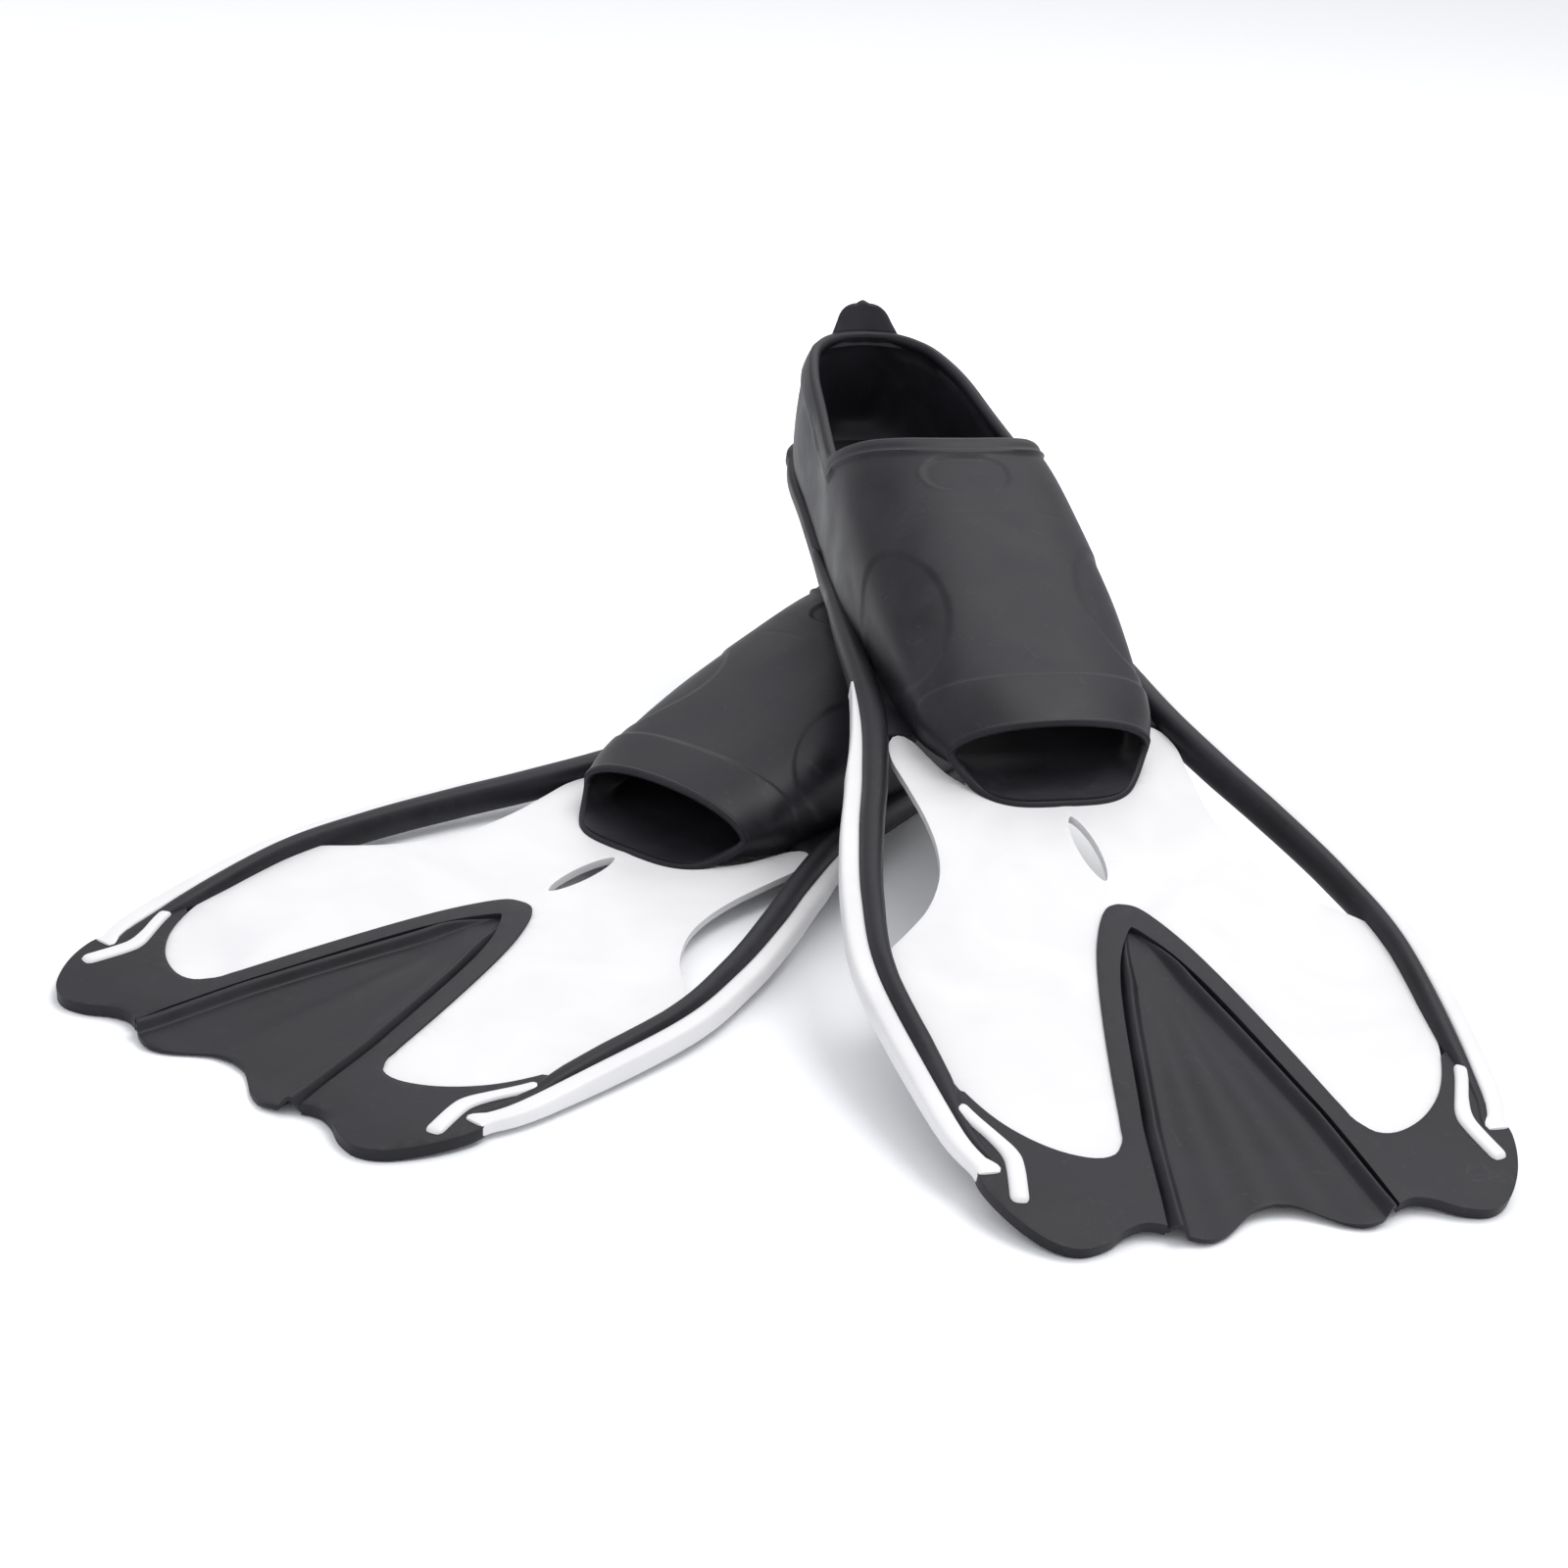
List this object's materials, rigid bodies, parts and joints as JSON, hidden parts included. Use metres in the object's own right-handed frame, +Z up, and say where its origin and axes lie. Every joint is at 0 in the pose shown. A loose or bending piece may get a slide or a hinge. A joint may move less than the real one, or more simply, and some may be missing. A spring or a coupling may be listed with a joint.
{
  "type": "pair of full-foot swim fins",
  "caption": "Pair of full-foot swim fins, one resting on the other: rubber foot pockets open at the toes, white vented blades with black rails, a central channel and scalloped tips.",
  "frame": {"origin": "on the floor under the middle of the pair's bounding box", "axes": "+Z up; the fins' tips point roughly to -Y and their heels to +Y, fanned apart; +X to the right seen from the tips"},
  "size_m": [0.5384, 0.5672, 0.2041],
  "materials": {
    "black_rubber": "satin moulded thermoplastic rubber",
    "membrane_rubber": "satin moulded thermoplastic rubber, thin and folded",
    "white_plastic": "smooth moulded polypropylene"
  },
  "bodies": {
    "lower_foot": {"lower_foot_pocket": "black_rubber", "lower_sole_plate": "white_plastic", "lower_sole_tread": "black_rubber", "lower_neck_plate": "white_plastic", "lower_rail_root_left": "black_rubber", "lower_rail_root_right": "black_rubber", "lower_strip_root_left": "white_plastic", "lower_strip_root_right": "white_plastic"},
    "lower_blade": {"lower_blade_plate": "white_plastic", "lower_channel_membrane": "membrane_rubber", "lower_tip_trim": "black_rubber", "lower_rail_left": "black_rubber", "lower_rail_right": "black_rubber", "lower_strip_left": "white_plastic", "lower_strip_right": "white_plastic", "lower_insert_left": "white_plastic", "lower_insert_right": "white_plastic"},
    "lower_tab": {"lower_heel_tab": "black_rubber"},
    "upper_foot": {"upper_foot_pocket": "black_rubber", "upper_sole_plate": "white_plastic", "upper_sole_tread": "black_rubber", "upper_neck_plate": "white_plastic", "upper_rail_root_left": "black_rubber", "upper_rail_root_right": "black_rubber", "upper_strip_root_left": "white_plastic", "upper_strip_root_right": "white_plastic"},
    "upper_blade": {"upper_blade_plate": "white_plastic", "upper_channel_membrane": "membrane_rubber", "upper_tip_trim": "black_rubber", "upper_rail_left": "black_rubber", "upper_rail_right": "black_rubber", "upper_strip_left": "white_plastic", "upper_strip_right": "white_plastic", "upper_insert_left": "white_plastic", "upper_insert_right": "white_plastic"},
    "upper_tab": {"upper_heel_tab": "black_rubber"}
  },
  "joints": [
    {"name": "upper_fin_lift", "type": "slide", "parent": "lower_foot", "child": "upper_foot", "axis": [0, 0, 1], "range_m": [0, 0.15]},
    {"name": "lower_blade_flex", "type": "hinge", "parent": "lower_foot", "child": "lower_blade", "pos_m": [-0.09816, -0.06367, 0.00815], "axis": [-0.8251, 0.565, 0], "range_deg": [-20, 30], "stiffness_Nm_per_rad": 25},
    {"name": "lower_tab_flex", "type": "hinge", "parent": "lower_foot", "child": "lower_tab", "pos_m": [0.12377, 0.26044, 0.06845], "axis": [-0.8251, 0.565, 0], "range_deg": [-25, 30], "stiffness_Nm_per_rad": 0.5},
    {"name": "upper_blade_flex", "type": "hinge", "parent": "upper_foot", "child": "upper_blade", "pos_m": [0.13, -0.0926, 0.04457], "axis": [-0.956, -0.2932, 0], "range_deg": [-20, 30], "stiffness_Nm_per_rad": 25},
    {"name": "upper_tab_flex", "type": "hinge", "parent": "upper_foot", "child": "upper_tab", "pos_m": [0.02083, 0.26336, 0.18351], "axis": [-0.956, -0.2932, 0], "range_deg": [-25, 30], "stiffness_Nm_per_rad": 0.5}
  ]
}
